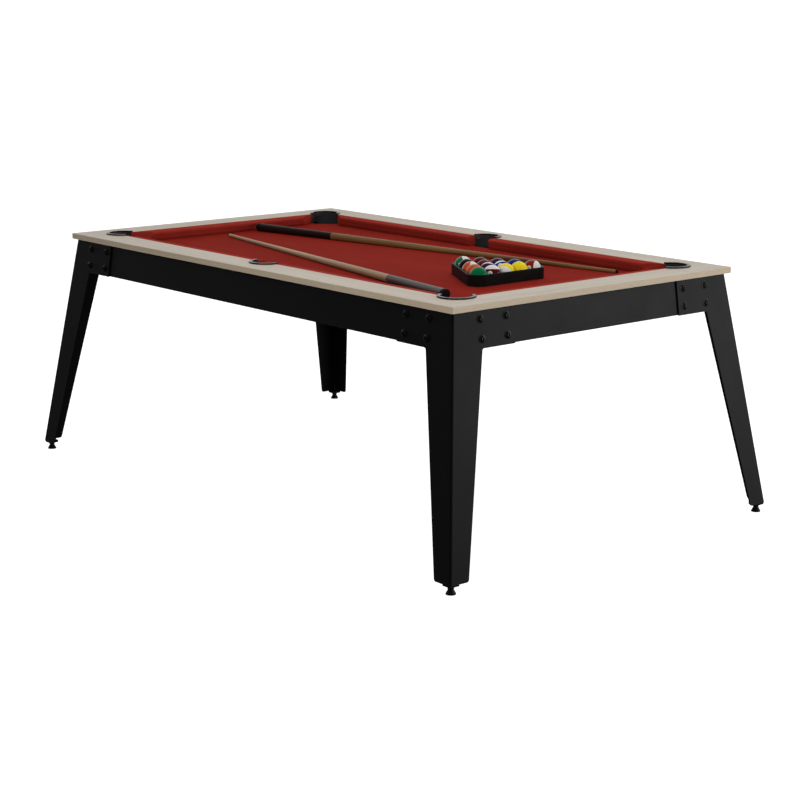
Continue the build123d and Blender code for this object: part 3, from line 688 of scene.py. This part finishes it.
def lathe(profile, segments=48):
    """A builder that turns (distance, radius) points round the X axis."""

    def build(work):
        rings = []
        for along, radius in profile:
            if radius == 0:
                rings.append([work.verts.new((along, 0, 0))])
                continue
            ring = [2 * pi * step / segments for step in range(segments)]
            rings.append([work.verts.new((along, radius * cos(a), radius * sin(a))) for a in ring])
        for first, second in zip(rings, rings[1:]):
            for index in range(segments):
                following = (index + 1) % segments
                if len(first) == 1:
                    work.faces.new([first[0], second[following], second[index]])
                elif len(second) == 1:
                    work.faces.new([first[index], first[following], second[0]])
                else:
                    work.faces.new([first[index], first[following], second[following], second[index]])

    return build


def middle_of(points):
    return sum(points, Vector()) / len(points)


def cue_line(name):
    """Butt end, tip end and length of the butt of a cue, from its CAD nodes."""
    bumper = [vertex.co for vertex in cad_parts[name + "_bumper"].data.vertices]
    shaft = [vertex.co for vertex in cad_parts[name + "_shaft"].data.vertices]
    start = middle_of(bumper)
    heading = (middle_of(shaft) - start).normalized()
    bumper_reach = [(point - start).dot(heading) for point in bumper]
    shaft_reach = [(point - start).dot(heading) for point in shaft]
    butt_rim = [p for p, reach in zip(bumper, bumper_reach) if reach < min(bumper_reach) + RIM_MARGIN]
    tip_rim = [p for p, reach in zip(shaft, shaft_reach) if reach > max(shaft_reach) - RIM_MARGIN]
    return middle_of(butt_rim), middle_of(tip_rim), min(shaft_reach) - min(bumper_reach)


def cue_radius(along, length):
    return CUE_END_RADIUS + (CUE_TIP_RADIUS - CUE_END_RADIUS) * along / length


MAPLE = ((0.35, 0.24, 0.135), (0.31, 0.205, 0.115), (0.25, 0.165, 0.09))
ASH = ((0.20, 0.115, 0.045), (0.165, 0.09, 0.034), (0.12, 0.062, 0.022))
GREY_STAIN = ((0.080, 0.073, 0.069), (0.068, 0.062, 0.058), (0.052, 0.047, 0.044))
DARK_STAIN = ((0.018, 0.008, 0.0055), (0.012, 0.0055, 0.004), (0.008, 0.004, 0.003))
maple = wood("maple_shaft", ALONG_X, *MAPLE, 0.25, 0.4, 0.05, 0.12)
ash = wood("brown_shaft", ALONG_X, *ASH, 0.5, 0.4, 0.05, 0.12)
grey_butt = wood("grey_butt", ALONG_X, *GREY_STAIN, 0.3, 0.4, 0.05, 0.15)
dark_butt = wood("dark_butt", ALONG_X, *DARK_STAIN, 0.3, 0.4, 0.0, 0.08)
ferrule_pale = moulded_plastic("ferrule_pale", (0.27, 0.19, 0.12), 0.35, 0.15)
ferrule_brown = moulded_plastic("ferrule_brown", (0.13, 0.075, 0.03), 0.35, 0.15)
tip_leather = moulded_plastic("tip_leather", (0.004, 0.004, 0.005), 0.8, 0.05, 0.8)
ring_black = moulded_plastic("collar_black", (0.003, 0.003, 0.003), 0.25, 0.2)
# cue: (shaft, butt, ferrule)
CUE_MAKE = {"cue_a": (maple, grey_butt, ferrule_pale), "cue_b": (ash, dark_butt, ferrule_brown)}


def add_cue(name, shaft_wood, butt_wood, ferrule):
    """A cue of butt, collar, shaft, ferrule and tip in the place of its CAD solids."""
    butt_end, tip_end, joint = cue_line(name)
    length = (tip_end - butt_end).length
    heading = (tip_end - butt_end).normalized()
    side = UP.cross(heading).normalized()
    turn = Matrix((heading, side, heading.cross(side))).transposed().to_4x4()

    def turned(part, profile, material, replaced=None):
        made = piece(name + "_" + part, lathe(profile), material, name)
        made.matrix_world = Matrix.Translation(butt_end) @ turn
        bevel(made, 0.5 * MM, 2, 30)
        if replaced:
            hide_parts(replaced)

    def tapered(start, end, steps):
        rows = [start + (end - start) * step / steps for step in range(steps + 1)]
        return [(start, 0)] + [(along, cue_radius(along, length)) for along in rows] + [(end, 0)]

    tip_start = length - TIP
    shaft_end = tip_start - FERRULE
    dome_start = length - TIP_DOME
    turned("shaft_wood", tapered(joint + COLLAR, shaft_end, 40), shaft_wood, name + "_shaft")
    turned("collar", tapered(joint, joint + COLLAR, 2), ring_black)
    turned("butt_wood", tapered(CUE_BUMPER, joint, 12), butt_wood, name + "_butt")
    turned("ferrule", tapered(shaft_end, tip_start, 3), ferrule)
    tip = [(tip_start, 0), (tip_start, CUE_TIP_RADIUS), (dome_start, CUE_TIP_RADIUS)]
    for step in range(1, 6):
        angle = radians(90 * step / 6)
        tip.append((dome_start + DOME_HEIGHT * sin(angle), CUE_TIP_RADIUS * cos(angle)))
    turned("tip", tip + [(dome_start + DOME_HEIGHT, 0)], tip_leather)


for name, make in CUE_MAKE.items():
    add_cue(name, *make)


# ------------------------------------------------------------------ room, light and camera
CAMERA_HEADING = 140.046  # degrees from +X
FLOOR_SIZE = 3000.0
FLOOR_GLOW = 1.0
WHITE_LIGHT = (1, 1, 1, 1)
floor_surface = Surface("pale_floor", Base_Color=(0.35, 0.35, 0.35, 1), Roughness=0.9)
floor_surface.shader.inputs["Specular IOR Level"].default_value = 0.1
floor_surface.shader.inputs["Emission Color"].default_value = WHITE_LIGHT
floor_surface.shader.inputs["Emission Strength"].default_value = FLOOR_GLOW
floor_mesh = bpy.data.meshes.new("floor")
half = FLOOR_SIZE / 2
corners = [(-half, -half, 0), (half, -half, 0), (half, half, 0), (-half, half, 0)]
floor_mesh.from_pydata(corners, [], [(0, 1, 2, 3)])
floor_mesh.materials.append(floor_surface.material)
floor = bpy.data.objects.new("floor", floor_mesh)
scene.collection.objects.link(floor)
floor.visible_diffuse = False  # the floor is only a white ground: the room below does the lighting
floor.visible_glossy = False

ROOM_BELOW = 0.25  # share of the room's light that comes from under the horizon
ROOM_NEAR = 0.15  # behind the viewer
ROOM_FAR = 1.0  # the white wall behind the table
world = bpy.data.worlds.new("studio")
scene.world = world
world.use_nodes = True
room_nodes, room_links = world.node_tree.nodes, world.node_tree.links


def room_node(kind, inputs, **settings):
    made = room_nodes.new(kind)
    for key, value in settings.items():
        setattr(made, key, value)
    for key, value in inputs.items():
        if isinstance(value, bpy.types.NodeSocket):
            room_links.new(value, made.inputs[key])
        else:
            made.inputs[key].default_value = value
    return made


direction = room_node("ShaderNodeTexCoord", {}).outputs["Generated"]
away = (cos(radians(CAMERA_HEADING)), sin(radians(CAMERA_HEADING)), 0)
behind = room_node("ShaderNodeVectorMath", {0: direction, 1: away}, operation="DOT_PRODUCT").outputs["Value"]
height = room_node("ShaderNodeSeparateXYZ", {"Vector": direction}).outputs["Z"]


def room_step(value, start, end, low, high):
    """The value, carried from its range start to end onto low to high."""
    inputs = {"Value": value, "From Min": start, "From Max": end, "To Min": low, "To Max": high}
    return room_node("ShaderNodeMapRange", inputs).outputs["Result"]


wall = room_step(behind, 0.0, 0.8, ROOM_NEAR, ROOM_FAR)
above = room_step(height, -0.04, 0.0, ROOM_BELOW, 1.0)
strength = room_node("ShaderNodeMath", {0: wall, 1: above}, operation="MULTIPLY")
background = room_nodes["Background"]
background.inputs["Color"].default_value = WHITE_LIGHT
room_links.new(strength.outputs["Value"], background.inputs["Strength"])


def soft_light(name, place, target, size, radiance, mirrored=True):
    """A rectangular studio light that faces a point; mirrored lights show in glossy surfaces."""
    data = bpy.data.lights.new(name, "AREA")
    data.shape = "RECTANGLE"
    data.size, data.size_y = size
    data.energy = radiance * pi * size[0] * size[1]
    light = bpy.data.objects.new(name, data)
    light.location = place
    light.rotation_euler = (Vector(target) - Vector(place)).to_track_quat("-Z", "Y").to_euler()
    light.visible_glossy = mirrored
    scene.collection.objects.link(light)


soft_light("end_light", (5.2, 3.9, 1.3), (1.0, 0.2, 0.5), (4.5, 2.6), 6.0)
soft_light("top_light", (0.4, 0.3, 4.3), (0.0, 0.0, 0.8), (4.0, 3.0), 2.3, mirrored=False)
soft_light("front_light", (3.4, -5.2, 2.0), (0.0, 0.0, 0.8), (3.0, 2.0), 8.0, mirrored=False)

CAMERA_PLACE = (4.9281, -4.045, 1.6963)
CAMERA_TILT = -12.5583  # degrees
CAMERA_ROLL = -0.045
LENS = 85.338  # mm
SENSOR = 36.0
camera_data = bpy.data.cameras.new("camera")
camera_data.lens = LENS
camera_data.sensor_width = SENSOR
camera_data.clip_end = 4000
camera = bpy.data.objects.new("camera", camera_data)
aim = Euler((radians(90 + CAMERA_TILT), 0, radians(CAMERA_HEADING - 90))).to_matrix()
aim = aim @ Matrix.Rotation(radians(CAMERA_ROLL), 3, "Z")
camera.matrix_world = Matrix.Translation(CAMERA_PLACE) @ aim.to_4x4()
scene.collection.objects.link(camera)
scene.camera = camera
scene.view_settings.view_transform = "Standard"
